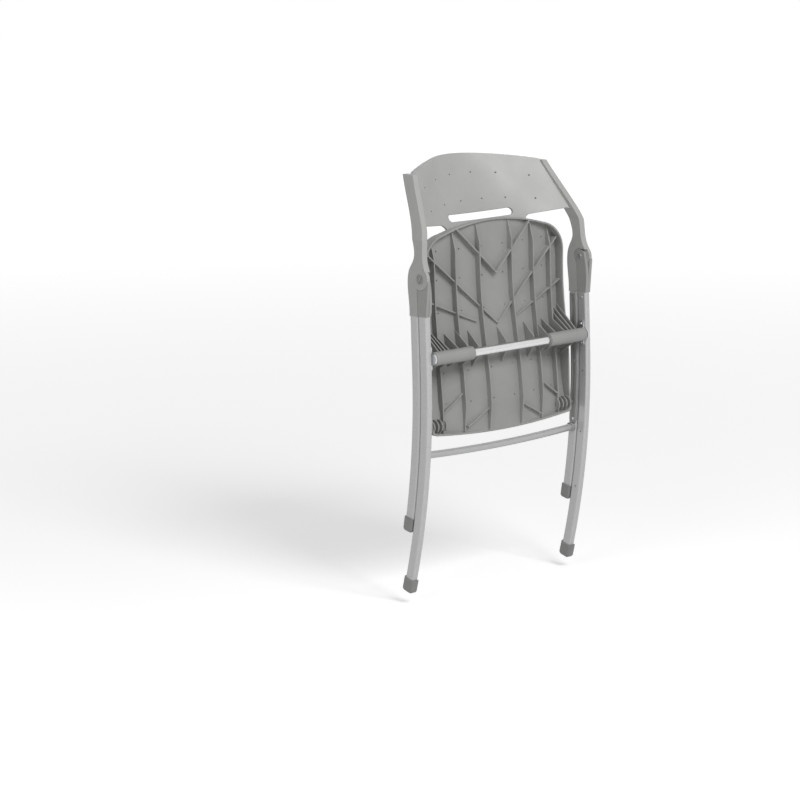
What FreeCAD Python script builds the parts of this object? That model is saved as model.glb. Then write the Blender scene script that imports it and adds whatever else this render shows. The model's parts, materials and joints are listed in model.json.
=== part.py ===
import FreeCAD, Part
import math
import os
from FreeCAD import Vector

os.makedirs("parts", exist_ok=True)

# Folding chair with a flip-up seat, drawn folded and hanging by its back shell.
# Everything is drawn from the knuckle hinge: +X across, +Y to the back, +Z up; left is the side at -X.
# save() then moves it so that the origin is midway between the rail rests.

# Driving sizes of the frame, millimetres
OUTER_HALF_WIDTH = 250.0
LEG_WIDTH = 15.0
LEG_DEPTH = 26.0
LEG_WALL = 2.0
LEG_CORNER = 5.0
LEG_GAP = 1.0
LEG_LEAN = 2.6
LEG_TOP_Z = -82.0
BEND_START_Y = 1.0
BEND_START_Z = -200.0
BEND_RADIUS = 1650.0
FRONT_LEG_RUN = 495.0
REAR_LEG_RUN = 361.0
SPIGOT_LENGTH = 40.0
SPARE_HOLE_RUNS = (60.0, 200.0, 330.0)
FOOT_HEIGHT = 33.0
FOOT_FLOOR = 8.0
FOOT_WALL = 2.5
SOLE_ROUND = 8.0
FOOT_ROUND = 5.0

# Knuckle hinge
PIN_RADIUS = 4.0
RUNNING_FIT = 0.06
PIN_HEAD_RADIUS = 6.8
PIN_HEAD = 1.5
KNUCKLE_RADIUS = 24.0
EAR_RADIUS = 16.3
KNUCKLE_CLEARANCE = 0.5
SHOULDER_GAP = 0.7
SHOULDER_Z = EAR_RADIUS + SHOULDER_GAP
HALF_LAP = 7.5
LAP_GAP = 0.3
CAP_RADIUS = 11.7
CAP_THICKNESS = 3.0
CAP_PROUD = 0.6
CAP_RECESS_FIT = 0.1
CAP_BAR_TURN = 35.0
WEB_END_ANGLE = 225.0

# Back shell
PANEL_SIDE_ANGLE = 28.6
PANEL_LOW_Z = 70.0
PANEL_HIGH_Z = 250.0
PANEL_LOW_RADIUS = 470.0
PANEL_HIGH_RADIUS = 110.0
PANEL_LOW_Y = 58.5
PANEL_RECLINE = 0.70
PANEL_THICK = 6.0
PANEL_SIDE_THICK = 15.0
PANEL_TOP_Z = 235.0
PANEL_CORNER_Z = 214.0
PANEL_CORNER_X = 180.0
TONGUE_BOTTOM_Z = 84.0
UPRIGHT_WIDTH = 15.0
RAIL_SLOPE = 16.4
REST_Z = 102.0
REST_Y = 50.0
REST_X = 165.0
ARCH_INNER_X = 118.0
ARCH_OUTER_GAP = 4.0
ARCH_CORNER = 18.0
SLOT_HALF = 97.0
SLOT_HEIGHT = 17.5
SLOT_Z = 107.0
SLOT_Y = 82.0
HOLE_RADIUS = 1.8
PANEL_HOLES = ((32.0, 194.0), (91.0, 190.0), (158.0, 182.0), (32.0, 139.0), (92.0, 137.0), (158.0, 132.0))

# Seat
SEAT_PLATE = 4.0
SEAT_SIDE_GAP = 22.0
SEAT_FRONT_Z = 105.0
SEAT_REAR_Z = -362.0
RIM_WALL = 3.5
RIB_WALL = 3.0
RIB_DEPTH = 15.0
RIB_X = (48.5, 118.0, 176.0)
SEAT_HOLE_X = (32.0, 96.5, 160.0)
SEAT_HOLE_Z = (46.0, -18.0, -90.0, -220.0, -288.0)
GUSSET_X = (0.0, 85.0)

# Free edge of the seat's rim: height, y
RIM_EDGE = ((118.0, 39.0), (96.0, 36.0), (68.0, 31.0), (7.0, 30.0), (-129.0, 20.0), (-220.0, 7.0),
            (-345.0, -3.0), (-372.0, -12.0))

# Slanting ribs of one side: two ends as (x, z), and the depth at each
DIAGONALS = (
    ((112.0, 92.0), (0.0, -14.0), 12.0, 14.0),
    ((197.0, 44.0), (0.0, -126.0), 16.0, 5.0),
    ((211.0, -53.0), (60.0, -117.0), 13.0, 4.0),
    ((119.0, -268.0), (174.0, -306.0), 5.0, 12.0),
    ((50.0, -308.0), (112.0, -342.0), 5.0, 10.0),
)

# Webs that carry the sleeves: place across, reach above and below the tube
SLEEVE_WEBS = (
    (119.5, 46.0, 40.0),
    (148.0, 40.0, 34.0),
    (176.0, 44.0, 40.0),
    (188.0, 52.0, 36.0),
    (199.0, 58.0, 40.0),
    (209.5, 66.0, 52.0),
)

# Seat tube, its brackets, and the seat's pins
TUBE_Y = -22.0
TUBE_Z = -174.0
TUBE_RADIUS = 9.5
TUBE_WALL = 1.5
SLEEVE_RADIUS = 15.0
SLEEVE_START_X = 117.0
SLEEVE_GAP = 0.8
BRACKET_RADIUS = 13.0
BRACKET_THICK = 4.5
SCREW_RADIUS = 3.6
SCREW_HEAD = 1.6
SCREW_SHANK = 1.6
BRACKET_REACH = 21.0
BRACKET_EAR = 7.5
ARM_SCREW_DROP = 11.0
LUG_RUN = 133.0
LUG_RADIUS = 15.0
LUG_WALL = 3.0
LUG_PITCH = 11.7
LUG_COUNT = 4
LUG_START_X = 172.0
SLIDE_PIN_RADIUS = 4.0
SLIDE_PIN_GAP = 0.4

# Guide track and stretcher on the rear legs
TRACK_WIDTH = 19.0
TRACK_THICK = 5.0
TRACK_OFFSET = 10.0
TRACK_TOP_Z = -84.0
TRACK_RUN = 184.0
TRACK_GROOVE = 8.6
TRACK_GROOVE_DEPTH = 2.5
RIVET_RADIUS = 2.2
STRETCHER_RADIUS = 8.0
STRETCHER_WALL = 1.5
STRETCHER_BOW = 7.0
STRETCHER_END_RADIUS = 10.5
STRETCHER_END = 9.0

# Seat sections: height, underside at the middle, and how much the sides lift per mm squared
SEAT_STATIONS = (
    (118.0, 42.0, 0.00030),
    (80.0, 40.6, 0.00031),
    (40.0, 39.2, 0.00032),
    (0.0, 37.6, 0.00033),
    (-45.0, 34.4, 0.00036),
    (-90.0, 28.8, 0.00044),
    (-150.0, 18.0, 0.00056),
    (-220.0, 4.0, 0.00068),
    (-288.0, -5.0, 0.00072),
    (-372.0, -9.5, 0.00068),
)

INNER_FACE = OUTER_HALF_WIDTH - LEG_WIDTH
SEAT_HALF_WIDTH = INNER_FACE - SEAT_SIDE_GAP
SLEEVE_END_X = INNER_FACE - BRACKET_THICK - SLEEVE_GAP
SLIDE_PIN_END_X = INNER_FACE - TRACK_THICK - SLIDE_PIN_GAP
ARCH_OUTER_X = INNER_FACE - ARCH_OUTER_GAP
LAP_X = OUTER_HALF_WIDTH - HALF_LAP
LEAN = math.radians(LEG_LEAN)
DOWN = Vector(0, -math.sin(LEAN), -math.cos(LEAN))
BACK = Vector(0, math.cos(LEAN), -math.sin(LEAN))
BEND_START = Vector(0, BEND_START_Y, BEND_START_Z)
BEND_CENTRE = BEND_START + BACK * BEND_RADIUS
LEFT = -1.0
RIGHT = 1.0


# Small tools

def save(name, shape):
    """Move a finished piece into the part's frame, check it and write it."""
    moved = shape.copy()
    moved.translate(Vector(0, -REST_Y, -REST_Z))
    solids = moved.Solids
    if not solids or not moved.isValid():
        raise ValueError(name + " is not a valid solid")
    kept = solids[0] if len(solids) == 1 else Part.makeCompound(solids)
    kept.exportStep("parts/" + name + ".step")
    volume = sum(solid.Volume for solid in solids)
    print(name, len(solids), "solid", round(volume / 1000.0, 1), "cm3")


def both_sides(name, left_shape):
    """Write a left piece, and its mirror image on the right."""
    save(name + "_left", left_shape)
    save(name + "_right", mirrored(left_shape))


def mirrored(shape):
    return shape.mirror(Vector(0, 0, 0), Vector(1, 0, 0))


def path_point(run, offset):
    """A point on the leg line: run below the start of the bend, offset to the back."""
    if run <= 0:
        return BEND_START + DOWN * run + BACK * offset
    turn = run / BEND_RADIUS
    spoke = BACK * (-math.cos(turn)) + DOWN * math.sin(turn)
    return BEND_CENTRE + spoke * (BEND_RADIUS - offset)


def run_at(height):
    """Run of a point on the straight part of the leg line at a height."""
    return (BEND_START_Z - height) / math.cos(LEAN)


def strip_edges(offset, start, end):
    """Edges that follow the leg line at one offset, from start down to end."""
    edges = []
    if start < 0:
        edges.append(Part.LineSegment(path_point(start, offset), path_point(min(end, 0), offset)).toShape())
    if end > 0:
        first = max(start, 0)
        middle = path_point((first + end) / 2, offset)
        edges.append(Part.Arc(path_point(first, offset), middle, path_point(end, offset)).toShape())
    return edges


def line(a, b):
    return Part.LineSegment(a, b).toShape()


def arc(a, b, c):
    return Part.Arc(a, b, c).toShape()


def curve(points):
    """A smooth curve through a few points."""
    spline = Part.BSplineCurve()
    spline.interpolate(points)
    return spline.toShape()


def prism(edges, start, along):
    """A solid whose section is a ring of edges, moved to start and pushed along a vector."""
    ring = Part.Wire(Part.__sortEdges__(edges))
    face = Part.Face(ring)
    face.translate(start)
    return face.extrude(along)


def polygon(points):
    ring = list(points) + [points[0]]
    return Part.makePolygon(ring).Edges


def leg_bar(front, back, start, end, low_x, high_x, corner):
    """A bar that follows the leg line between two offsets, with rounded long edges."""
    edges = strip_edges(front, start, end) + strip_edges(back, start, end)
    edges.append(line(path_point(start, front), path_point(start, back)))
    edges.append(line(path_point(end, front), path_point(end, back)))
    bar = prism(edges, Vector(low_x, 0, 0), Vector(high_x - low_x, 0, 0))
    if corner > 0:
        bar = bar.makeFillet(corner, long_edges(bar, front, back))
    return bar


def long_edges(bar, front, back):
    """The edges of a leg bar that run along the leg."""
    found = []
    for edge in bar.Edges:
        offset = path_offset(middle_of(edge))
        if not runs_across(edge) and min(abs(offset - front), abs(offset - back)) < 0.01:
            found.append(edge)
    return found


def middle_of(edge):
    return edge.valueAt((edge.FirstParameter + edge.LastParameter) / 2)


def runs_across(edge):
    """True for an edge that points to the side."""
    return abs(edge.tangentAt(edge.FirstParameter).x) > 0.5


def path_offset(point):
    """How far a point lies behind the leg line."""
    flat = Vector(0, point.y, point.z)
    if (flat - BEND_START).dot(DOWN) <= 0:
        return (flat - BEND_START).dot(BACK)
    return BEND_RADIUS - (flat - BEND_CENTRE).Length


def rod(radius, low_x, high_x, y, z):
    return Part.makeCylinder(radius, high_x - low_x, Vector(low_x, y, z), Vector(1, 0, 0))


def fuse_all(shapes):
    return shapes[0].multiFuse(shapes[1:]).removeSplitter()


# Legs: hollow aluminium extrusions, bent alike so that the front one nests against the rear one

FRONT_NEAR = -LEG_GAP / 2
FRONT_FAR = FRONT_NEAR - LEG_DEPTH
REAR_NEAR = LEG_GAP / 2
REAR_FAR = REAR_NEAR + LEG_DEPTH
TOP_RUN = run_at(LEG_TOP_Z)


def leg(near, far, run):
    """One hollow leg, open at both ends."""
    front, back = min(near, far), max(near, far)
    outside = leg_bar(front, back, TOP_RUN, run, -OUTER_HALF_WIDTH, -INNER_FACE, LEG_CORNER)
    inside = leg_bar(
        front + LEG_WALL, back - LEG_WALL, TOP_RUN - 1, run + 1,
        -OUTER_HALF_WIDTH + LEG_WALL, -INNER_FACE - LEG_WALL, LEG_CORNER - LEG_WALL)
    return outside.cut(inside)


def spigot(near, far):
    """The block of an arm that plugs into the top of a leg."""
    front, back = min(near, far), max(near, far)
    slack = LEG_WALL + 0.1
    return leg_bar(
        front + slack, back - slack, TOP_RUN - 2, TOP_RUN + SPIGOT_LENGTH,
        -OUTER_HALF_WIDTH + slack, -INNER_FACE - slack, LEG_CORNER - slack)


def foot(near, far, run, near_wall):
    """A cup with a rounded sole that caps the end of a leg."""
    front, back = min(near, far), max(near, far)
    front_wall, back_wall = (near_wall, FOOT_WALL) if near < far else (FOOT_WALL, near_wall)
    end = run + FOOT_FLOOR
    top = path_point(end - FOOT_HEIGHT, 0)
    sole = path_point(end, 0)
    low_x = -OUTER_HALF_WIDTH - FOOT_WALL
    high_x = -INNER_FACE + FOOT_WALL
    cup = leg_bar(front - front_wall, back + back_wall, end - FOOT_HEIGHT, end, low_x, high_x, 0)
    heel_and_toe = [e for e in cup.Edges if runs_across(e) and abs(middle_of(e).z - sole.z) < SOLE_ROUND]
    cup = cup.makeFillet(SOLE_ROUND, heel_and_toe)
    rims = [e for e in cup.Edges if not runs_across(e) and (middle_of(e) - top).dot(DOWN) > 3]
    cup = cup.makeFillet(FOOT_ROUND, rims)
    socket = leg_bar(
        front, back, end - FOOT_HEIGHT - 1, run, -OUTER_HALF_WIDTH, -INNER_FACE, LEG_CORNER)
    return cup.cut(socket)


# Where fasteners go through the legs' inner walls

FRONT_MIDDLE = (FRONT_NEAR + FRONT_FAR) / 2
BRACKET_POINTS = [path_point(run_at(TUBE_Z + reach), FRONT_MIDDLE) for reach in (-BRACKET_REACH, BRACKET_REACH)]
ARM_SCREW_POINT = path_point(TOP_RUN + ARM_SCREW_DROP, FRONT_MIDDLE)
SPARE_POINTS = [path_point(run, FRONT_MIDDLE) for run in SPARE_HOLE_RUNS]
RIVET_POINTS = [path_point(run, TRACK_OFFSET) for run in (run_at(TRACK_TOP_Z - 10.0), 40.0, TRACK_RUN - 9.0)]


def inner_wall_hole(point, radius):
    """A hole through the inner wall of a left leg."""
    return rod(radius, -INNER_FACE - LEG_WALL - 0.5, -INNER_FACE + 1, point.y, point.z)


front_holes = [inner_wall_hole(point, SCREW_SHANK) for point in BRACKET_POINTS + [ARM_SCREW_POINT]]
front_holes += [inner_wall_hole(point, HOLE_RADIUS) for point in SPARE_POINTS]
rear_holes = [inner_wall_hole(point, RIVET_RADIUS) for point in RIVET_POINTS]
both_sides("front_leg", leg(FRONT_NEAR, FRONT_FAR, FRONT_LEG_RUN).cut(Part.makeCompound(front_holes)))
both_sides("rear_leg", leg(REAR_NEAR, REAR_FAR, REAR_LEG_RUN).cut(Part.makeCompound(rear_holes)))
both_sides("front_foot", foot(FRONT_NEAR, FRONT_FAR, FRONT_LEG_RUN, FOOT_WALL))
both_sides("rear_foot", foot(REAR_NEAR, REAR_FAR, REAR_LEG_RUN, 0.0))


# Knuckle: the shell's disc lies outside, the front arm's ear lies inside it, and a pin joins them

UPRIGHT_REAR = ((32.9, -82.0), (36.0, -42.0), (39.0, -10.0), (33.5, 20.0), (22.0, 42.0),
                (28.0, 80.0), (45.0, 116.0), (73.0, 160.0), (108.0, 214.0))
UPRIGHT_FRONT = ((-17.0, 17.0), (-7.0, 38.0), (-4.0, 60.0), (-2.0, 84.0), (15.0, 120.0), (41.0, 160.0), (75.0, 214.0))
UPRIGHT_OUTSIDE = ((0.0, -200.0), (0.0, 20.0), (4.5, 84.0), (50.0, 222.0))
SIDE_SLAB = ([(x_in - OUTER_HALF_WIDTH, z) for x_in, z in UPRIGHT_OUTSIDE]
             + [(x_in - OUTER_HALF_WIDTH + UPRIGHT_WIDTH, z) for x_in, z in reversed(UPRIGHT_OUTSIDE)])


def at_yz(points):
    return [Vector(0, y, z) for y, z in points]


def mid_line_at(height, offset):
    return path_point(run_at(height), offset)


def circle_meets_leg_line(radius, offset):
    """Where a circle about the hinge crosses the leg line below the hinge."""
    low, high = -2 * radius, 0.0
    for _ in range(60):
        height = (low + high) / 2
        if mid_line_at(height, offset).Length > radius:
            low = height
        else:
            high = height
    return mid_line_at(high, offset)


def disc_point(radius, degrees):
    """A point on a circle about the hinge: 0 is back, 90 is up."""
    angle = math.radians(degrees)
    return Vector(0, radius * math.cos(angle), radius * math.sin(angle))


def shell_side():
    """The left upright, with the hinge disc and the rear leg's socket."""
    rear = at_yz(UPRIGHT_REAR)
    front = at_yz(UPRIGHT_FRONT)
    neck = disc_point(KNUCKLE_RADIUS, 135.0)
    front[0] = neck
    low = circle_meets_leg_line(KNUCKLE_RADIUS, REAR_NEAR)
    socket_front = path_point(TOP_RUN, REAR_NEAR)
    socket_back = path_point(TOP_RUN, REAR_FAR)
    rear[0] = socket_back
    edges = [curve(rear), curve(front)]
    edges.append(line(rear[-1], front[-1]))
    edges.append(arc(neck, disc_point(KNUCKLE_RADIUS, 200.0), low))
    edges.append(line(low, socket_front))
    edges.append(line(socket_front, socket_back))
    silhouette = prism(edges, Vector(-260, 0, 0), Vector(80, 0, 0))
    slab = prism(polygon([Vector(x, 0, z) for x, z in SIDE_SLAB]), Vector(0, -80, 0), Vector(0, 240, 0))
    return silhouette.common(slab)


def ear_pocket():
    """The room that the front arm's ear needs inside the disc."""
    clear = EAR_RADIUS + KNUCKLE_CLEARANCE * 2
    round_part = rod(clear, -LAP_X, -INNER_FACE + 20, 0, 0)
    corner = math.sqrt(clear * clear - SHOULDER_Z * SHOULDER_Z) - 0.1
    meet = circle_meets_leg_line(clear, REAR_NEAR)
    low = mid_line_at(-60.0, REAR_NEAR)
    points = [(-60.0, SHOULDER_Z), (corner, SHOULDER_Z), (corner, 0.0), (meet.y, meet.z), (low.y, low.z), (-60.0, low.z)]
    block = prism(polygon(at_yz(points)), Vector(-LAP_X, 0, 0), Vector(LEG_WIDTH, 0, 0))
    return round_part.fuse(block)


# Back panel: a cone-shaped shell that wraps round the sitter, with straight sides

def panel_section(height):
    """Ring of edges of the panel at one height."""
    share = (height - PANEL_LOW_Z) / (PANEL_HIGH_Z - PANEL_LOW_Z)
    radius = PANEL_LOW_RADIUS + share * (PANEL_HIGH_RADIUS - PANEL_LOW_RADIUS)
    middle = PANEL_LOW_Y + PANEL_RECLINE * (height - PANEL_LOW_Z)
    side = math.radians(PANEL_SIDE_ANGLE)
    end_x = side_x(height) - UPRIGHT_WIDTH / 2
    centre_y = middle - radius
    back_radius = radius + PANEL_THICK

    def on_arc(r, angle):
        return Vector(r * math.sin(angle), centre_y + r * math.cos(angle), height)

    front_break = on_arc(radius, side)
    front_end = Vector(end_x, front_break.y - math.tan(side) * (end_x - front_break.x), height)
    back_break = on_arc(back_radius, side)
    back_end = front_end + Vector(0, PANEL_SIDE_THICK, 0)
    points = [front_end, front_break, back_break, back_end]
    left = [Vector(-p.x, p.y, p.z) for p in points]
    return Part.Wire([
        line(left[0], left[1]),
        arc(left[1], on_arc(radius, 0), points[1]),
        line(points[1], points[0]),
        line(points[0], points[3]),
        line(points[3], points[2]),
        arc(points[2], on_arc(back_radius, 0), left[2]),
        line(left[2], left[3]),
        line(left[3], left[0])])


def side_x(height):
    """Outer face of the upright, as a distance from the middle, at a height above the neck."""
    (x0, z0), (x1, z1) = SIDE_SLAB[2], SIDE_SLAB[3]
    return abs(x0 + (x1 - x0) * (height - z0) / (z1 - z0))


def panel_outline():
    """Front view of the panel: crowned top edge, round top corners, tongue below."""
    side = side_x(PANEL_CORNER_Z) - 1.0
    low_side = side_x(TONGUE_BOTTOM_Z) - 1.0
    top = Vector(0, 0, PANEL_TOP_Z)
    shoulder = Vector(PANEL_CORNER_X, 0, PANEL_CORNER_Z + 5.0)
    end = Vector(side, 0, PANEL_CORNER_Z - 20.0)
    knee = Vector(side - 6.0, 0, PANEL_CORNER_Z - 3.0)
    low = Vector(low_side, 0, TONGUE_BOTTOM_Z)

    def left(p):
        return Vector(-p.x, p.y, p.z)

    return [
        arc(left(shoulder), top, shoulder),
        arc(shoulder, knee, end),
        line(end, low),
        line(low, left(low)),
        line(left(low), left(end)),
        arc(left(end), left(knee), left(shoulder))]


def rounded_slot(low_x, high_x, low_z, high_z, corner, y, slope):
    """A prism with round corners that runs fore and aft, rising to the front by the rail slope."""
    k = corner * (1 - math.sqrt(0.5))
    x0, x1, z0, z1 = low_x, high_x, low_z, high_z
    p = [Vector(x0 + corner, 0, z0), Vector(x1 - corner, 0, z0), Vector(x1, 0, z0 + corner),
         Vector(x1, 0, z1 - corner), Vector(x1 - corner, 0, z1), Vector(x0 + corner, 0, z1),
         Vector(x0, 0, z1 - corner), Vector(x0, 0, z0 + corner)]
    bends = [Vector(x1 - k, 0, z0 + k), Vector(x1 - k, 0, z1 - k), Vector(x0 + k, 0, z1 - k), Vector(x0 + k, 0, z0 + k)]
    edges = [line(p[0], p[1]), line(p[4], p[5])]
    for i in range(4):
        edges.append(arc(p[(2 * i + 1) % 8], bends[i], p[(2 * i + 2) % 8]))
    if z1 - z0 > 2 * corner + 0.01:
        edges.append(line(p[2], p[3]))
        edges.append(line(p[6], p[7]))
    back = Vector(0, 1, -math.tan(math.radians(slope)))
    return prism(edges, Vector(0, y, 0) - back * 90, back * 180)


def back_shell():
    panel = Part.makeLoft([panel_section(PANEL_LOW_Z), panel_section(PANEL_HIGH_Z)], True, True)
    panel = panel.common(prism(panel_outline(), Vector(0, -60, 0), Vector(0, 300, 0)))
    for side in (LEFT, RIGHT):
        low, high = sorted((side * ARCH_INNER_X, side * ARCH_OUTER_X))
        arch = rounded_slot(low, high, REST_Z - 120, REST_Z, ARCH_CORNER, REST_Y, RAIL_SLOPE)
        panel = panel.cut(arch)
    grip = rounded_slot(
        -SLOT_HALF, SLOT_HALF, SLOT_Z - SLOT_HEIGHT / 2, SLOT_Z + SLOT_HEIGHT / 2,
        SLOT_HEIGHT / 2 - 0.05, SLOT_Y, RAIL_SLOPE)
    panel = panel.cut(grip)
    left = shell_side()
    left = left.cut(ear_pocket())
    left = left.fuse(spigot(REAR_NEAR, REAR_FAR))
    shell = fuse_all([panel, left, mirrored(left)])
    cuts = []
    for side in (LEFT, RIGHT):
        for x, z in PANEL_HOLES:
            y = PANEL_LOW_Y + PANEL_RECLINE * (z - PANEL_LOW_Z)
            cuts.append(Part.makeCylinder(HOLE_RADIUS, 130, Vector(side * x, y - 100, z), Vector(0, 1, 0)))
        cuts.append(rod(PIN_RADIUS, *sorted((side * LAP_X, side * (OUTER_HALF_WIDTH - 1))), 0, 0))
        recess = OUTER_HALF_WIDTH - CAP_THICKNESS + CAP_PROUD
        cuts.append(rod(CAP_RADIUS + CAP_RECESS_FIT, *sorted((side * recess, side * (OUTER_HALF_WIDTH + 5))), 0, 0))
    return shell.cut(Part.makeCompound(cuts))


save("back_shell", back_shell())


def front_arm():
    """The arm in the top of a front leg, with the ear that turns on the hinge pin."""
    heel = path_point(TOP_RUN, FRONT_NEAR)
    toe = path_point(TOP_RUN, FRONT_FAR)
    clear = KNUCKLE_RADIUS + KNUCKLE_CLEARANCE
    meet = circle_meets_leg_line(clear, FRONT_NEAR)
    horn = disc_point(clear, 190.0)
    tip = disc_point(clear + 2.0, 191.0)
    outer = [line(horn, tip), curve([tip, Vector(0, -24.0, -30.0), toe]), line(toe, heel), line(heel, meet)]
    outer.append(arc(meet, disc_point(clear, 235.0), horn))
    outer_half = prism(outer, Vector(-OUTER_HALF_WIDTH, 0, 0), Vector(HALF_LAP - LAP_GAP, 0, 0))
    ear_meet = circle_meets_leg_line(EAR_RADIUS, FRONT_NEAR)
    brow = disc_point(EAR_RADIUS, 180.0)
    inner = [arc(ear_meet, disc_point(EAR_RADIUS, 60.0), brow), curve([brow, Vector(0, -22.0, -32.0), toe])]
    inner.append(line(toe, heel))
    inner.append(line(heel, ear_meet))
    inner_x = -LAP_X + LAP_GAP
    inner_half = prism(inner, Vector(inner_x, 0, 0), Vector(-INNER_FACE - inner_x, 0, 0))
    web_end = disc_point(clear, WEB_END_ANGLE)
    web_edges = [line(toe, heel), line(heel, meet), arc(meet, disc_point(clear, 250.0), web_end), line(web_end, toe)]
    web = prism(web_edges, Vector(-OUTER_HALF_WIDTH + 1, 0, 0), Vector(LEG_WIDTH - 2, 0, 0))
    arm = fuse_all([outer_half, inner_half, web, spigot(FRONT_NEAR, FRONT_FAR)])
    return arm.cut(rod(PIN_RADIUS + RUNNING_FIT, -OUTER_HALF_WIDTH, -INNER_FACE + 1, 0, 0))


both_sides("front_arm", front_arm())


def hinge_pin():
    """Pressed into the shell's disc, with a flat head over the ear."""
    shank = rod(PIN_RADIUS, -OUTER_HALF_WIDTH + CAP_THICKNESS + 0.5, -INNER_FACE + 0.1, 0, 0)
    head = rod(PIN_HEAD_RADIUS, -INNER_FACE + 0.1, -INNER_FACE + 0.1 + PIN_HEAD, 0, 0)
    return fuse_all([shank, head.makeFillet(0.6, round_edges_at(head, -INNER_FACE + 0.1 + PIN_HEAD))])


def round_edges_at(shape, x):
    """The circular edges of a turned piece that lie at one x."""
    return [e for e in shape.Edges if abs(e.BoundBox.XMin - x) < 0.01 and abs(e.BoundBox.XMax - x) < 0.01]


def pivot_cap():
    """Round cover that clips over the pin outside, with a raised diagonal bar."""
    inner_x = -OUTER_HALF_WIDTH + CAP_THICKNESS - CAP_PROUD
    outer_x = -OUTER_HALF_WIDTH - CAP_PROUD
    disc = rod(CAP_RADIUS, outer_x, inner_x, 0, 0)
    disc = disc.makeFillet(0.8, round_edges_at(disc, outer_x))
    bar = Part.makeBox(2.0, 3.0, 1.5 * CAP_RADIUS, Vector(outer_x - 0.8, -1.5, -0.75 * CAP_RADIUS))
    bar = bar.makeFillet(0.7, [e for e in bar.Edges if middle_of(e).x < outer_x - 0.5])
    bar.rotate(Vector(0, 0, 0), Vector(1, 0, 0), CAP_BAR_TURN)
    room = rod(PIN_RADIUS + 0.2, inner_x - 0.5, inner_x + 1, 0, 0)
    return fuse_all([disc, bar]).cut(room)


both_sides("hinge_pin", hinge_pin())
both_sides("pivot_cap", pivot_cap())


# Seat tube: it joins the front legs, and the seat turns on it

def tube_bracket():
    """Rounded plate on the inside of a front leg, with a socket for the tube's end."""
    low = path_point(run_at(TUBE_Z - BRACKET_REACH), (FRONT_NEAR + FRONT_FAR) / 2)
    high = path_point(run_at(TUBE_Z + BRACKET_REACH), (FRONT_NEAR + FRONT_FAR) / 2)
    low_x = -INNER_FACE
    parts = [rod(BRACKET_RADIUS, low_x, low_x + BRACKET_THICK, TUBE_Y, TUBE_Z)]
    for point in (low, high):
        parts.append(rod(BRACKET_EAR, low_x, low_x + BRACKET_THICK, point.y, point.z))
    spine = polygon([
        Vector(0, low.y - BRACKET_EAR, low.z), Vector(0, low.y + BRACKET_EAR, low.z),
        Vector(0, high.y + BRACKET_EAR, high.z), Vector(0, high.y - BRACKET_EAR, high.z)])
    parts.append(prism(spine, Vector(low_x, 0, 0), Vector(BRACKET_THICK, 0, 0)))
    plate = fuse_all(parts)
    socket = rod(TUBE_RADIUS, low_x + 1.5, low_x + BRACKET_THICK + 1, TUBE_Y, TUBE_Z)
    plate = plate.cut(socket)
    for point in (low, high):
        plate = plate.cut(rod(SCREW_SHANK, low_x - 1, low_x + BRACKET_THICK + 1, point.y, point.z))
    return plate


def screw(point, face_x):
    """Button-head screw that goes outwards into a leg's inner wall; left side."""
    head = rod(SCREW_RADIUS, face_x, face_x + SCREW_HEAD, point.y, point.z)
    head = head.makeFillet(0.7, round_edges_at(head, face_x + SCREW_HEAD))
    head = head.cut(rod(1.2, face_x + 0.7, face_x + 3, point.y, point.z))
    shank = rod(SCREW_SHANK, -INNER_FACE - LEG_WALL, face_x, point.y, point.z)
    return fuse_all([head, shank])


bracket_screws = [screw(point, -INNER_FACE + BRACKET_THICK) for point in BRACKET_POINTS]
arm_screws = [screw(ARM_SCREW_POINT, -INNER_FACE)]
both_sides("tube_bracket", tube_bracket())
save("bracket_screws", Part.makeCompound(bracket_screws + [mirrored(s) for s in bracket_screws]))
save("arm_screws", Part.makeCompound(arm_screws + [mirrored(s) for s in arm_screws]))
tube_end = INNER_FACE - 1.5
tube = rod(TUBE_RADIUS, -tube_end, tube_end, TUBE_Y, TUBE_Z)
save("seat_tube", tube.cut(rod(TUBE_RADIUS - TUBE_WALL, -tube_end - 1, tube_end + 1, TUBE_Y, TUBE_Z)))


# Guide tracks and stretcher on the rear legs

def seat_track():
    """Grooved strip on the inner face of a rear leg, round at the bottom."""
    low_x = -INNER_FACE
    half = TRACK_WIDTH / 2
    top = run_at(TRACK_TOP_Z)
    strip = leg_bar(TRACK_OFFSET - half, TRACK_OFFSET + half, top, TRACK_RUN - half, low_x, low_x + TRACK_THICK, 0)
    end = path_point(TRACK_RUN - half, TRACK_OFFSET)
    nose = rod(half, low_x, low_x + TRACK_THICK, end.y, end.z)
    strip = strip.fuse(nose).removeSplitter()
    groove_x = low_x + TRACK_THICK - TRACK_GROOVE_DEPTH
    half_groove = TRACK_GROOVE / 2
    groove = leg_bar(
        TRACK_OFFSET - half_groove, TRACK_OFFSET + half_groove, run_at(TRACK_TOP_Z - 4.0), TRACK_RUN - 5.0,
        groove_x, low_x + TRACK_THICK + 1, 0)
    strip = strip.cut(groove)
    for point in RIVET_POINTS:
        strip = strip.cut(rod(RIVET_RADIUS, low_x - 1, low_x + TRACK_THICK + 1, point.y, point.z))
    return strip


def rivet(point):
    """Rivet in the track's groove, through the leg's inner wall, with its head below the track's face; left side."""
    floor_x = -INNER_FACE + TRACK_THICK - TRACK_GROOVE_DEPTH
    head = rod(RIVET_RADIUS * 1.5, floor_x, floor_x + 1.0, point.y, point.z)
    shank = rod(RIVET_RADIUS, -INNER_FACE - LEG_WALL, floor_x, point.y, point.z)
    return fuse_all([head.makeFillet(0.6, round_edges_at(head, floor_x + 1.0)), shank])


rivets = [rivet(point) for point in RIVET_POINTS]
both_sides("seat_track", seat_track())
save("track_rivets", Part.makeCompound(rivets + [mirrored(r) for r in rivets]))

STRETCHER_RUN = TRACK_RUN + STRETCHER_END_RADIUS + 0.5
STRETCHER_END_POINT = path_point(STRETCHER_RUN, (REAR_NEAR + REAR_FAR) / 2)


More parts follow.
